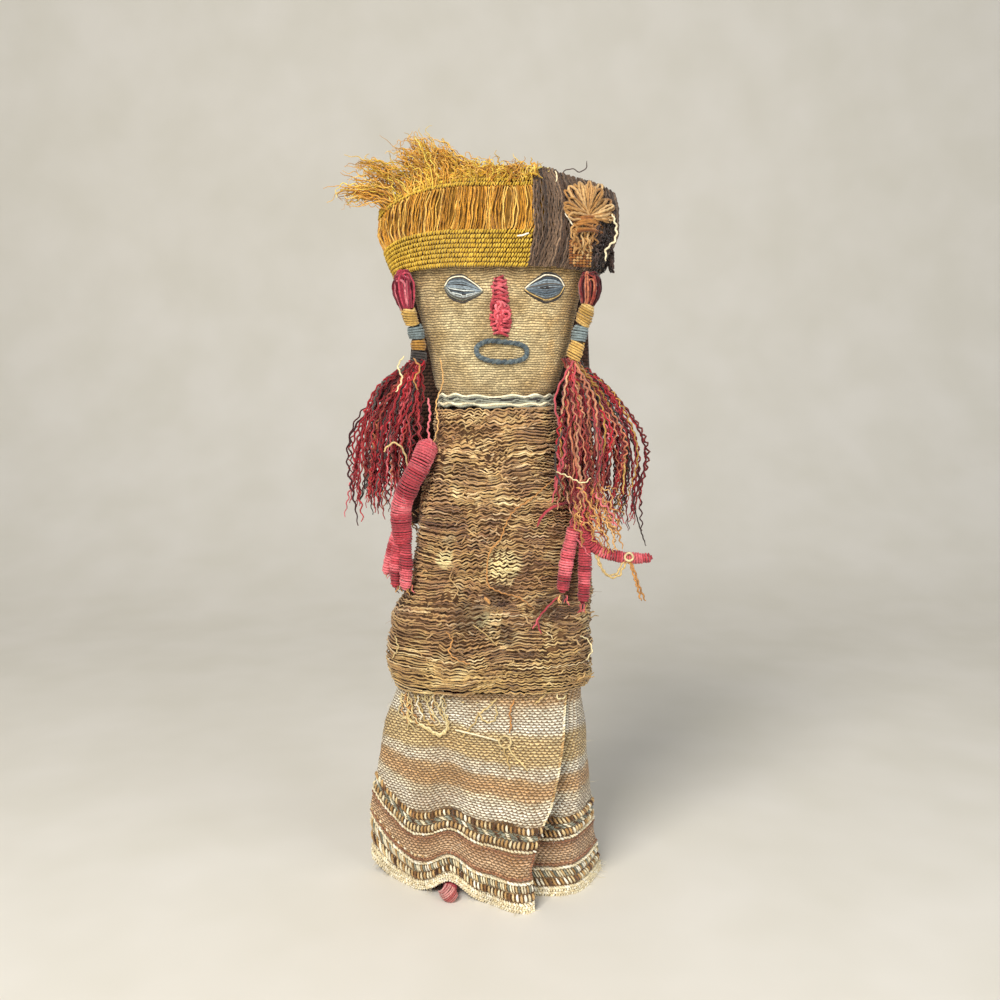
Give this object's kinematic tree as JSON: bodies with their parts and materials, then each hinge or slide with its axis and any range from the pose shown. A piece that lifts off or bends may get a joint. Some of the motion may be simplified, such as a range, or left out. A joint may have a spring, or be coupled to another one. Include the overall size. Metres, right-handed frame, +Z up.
{
  "type": "textile burial doll",
  "caption": "Standing stuffed textile doll with woven face, fringed headband, yarn tassels, wrapped arms, crepe dress and striped wrap skirt.",
  "frame": {"origin": "middle of the doll's box, on the surface that the hem stands on", "axes": "+Z up from the hem to the fringe, -Y the way the face looks, +X to the right of someone facing the doll"},
  "size_m": [0.1236, 0.0464, 0.3183],
  "materials": {
    "face_cloth": "plain woven cotton, aged beige, matte",
    "neck_yarn": "wound blue-green and grey yarns, matte",
    "dress_cloth": "brown crepe cloth of crimped yarns, matte",
    "skirt_cloth": "striped woven band cloth in cream, tan and brown, matte",
    "red_yarn": "tightly wrapped coral-red wool yarn, matte",
    "mustard_wool": "mustard wool weave with a frayed fringe, matte",
    "tan_yarn": "looped tan wool yarn, matte",
    "dark_yarn": "dark brown wool yarn, matte",
    "mantle_cloth": "dark brown open weave cloth, matte",
    "blue_yarn": "blue-grey satin stitches and cord, matte",
    "coral_yarn": "coral-red embroidery yarn, matte",
    "crimson_yarn": "crimped crimson wool yarns, matte",
    "yellow_yarn": "ochre-yellow wrapping yarn, matte",
    "ochre_yarn": "orange-ochre wrapping yarn, matte",
    "grey_yarn": "dark grey wrapping yarn, matte"
  },
  "bodies": {
    "root": {"head": "face_cloth", "neck_band": "neck_yarn", "dress": "dress_cloth", "skirt": "skirt_cloth", "leg_left": "red_yarn", "leg_right": "red_yarn", "headband": "mustard_wool", "yarn_loops_tan": "tan_yarn", "yarn_knot_dark": "dark_yarn", "mantle": "mantle_cloth", "eye_left": "blue_yarn", "eye_right": "blue_yarn", "nose": "coral_yarn", "mouth": "blue_yarn", "ear_left_loops": "crimson_yarn", "ear_left_wrap_yellow": "yellow_yarn", "ear_left_wrap_blue": "blue_yarn", "ear_left_wrap_orange": "ochre_yarn", "ear_left_wrap_dark": "grey_yarn", "tassel_left": "crimson_yarn", "ear_right_loops": "crimson_yarn", "ear_right_wrap_yellow": "yellow_yarn", "ear_right_wrap_blue": "blue_yarn", "ear_right_wrap_ochre": "ochre_yarn", "tassel_right": "crimson_yarn", "arm_left": "red_yarn", "arm_right": "red_yarn"}
  },
  "joints": []
}
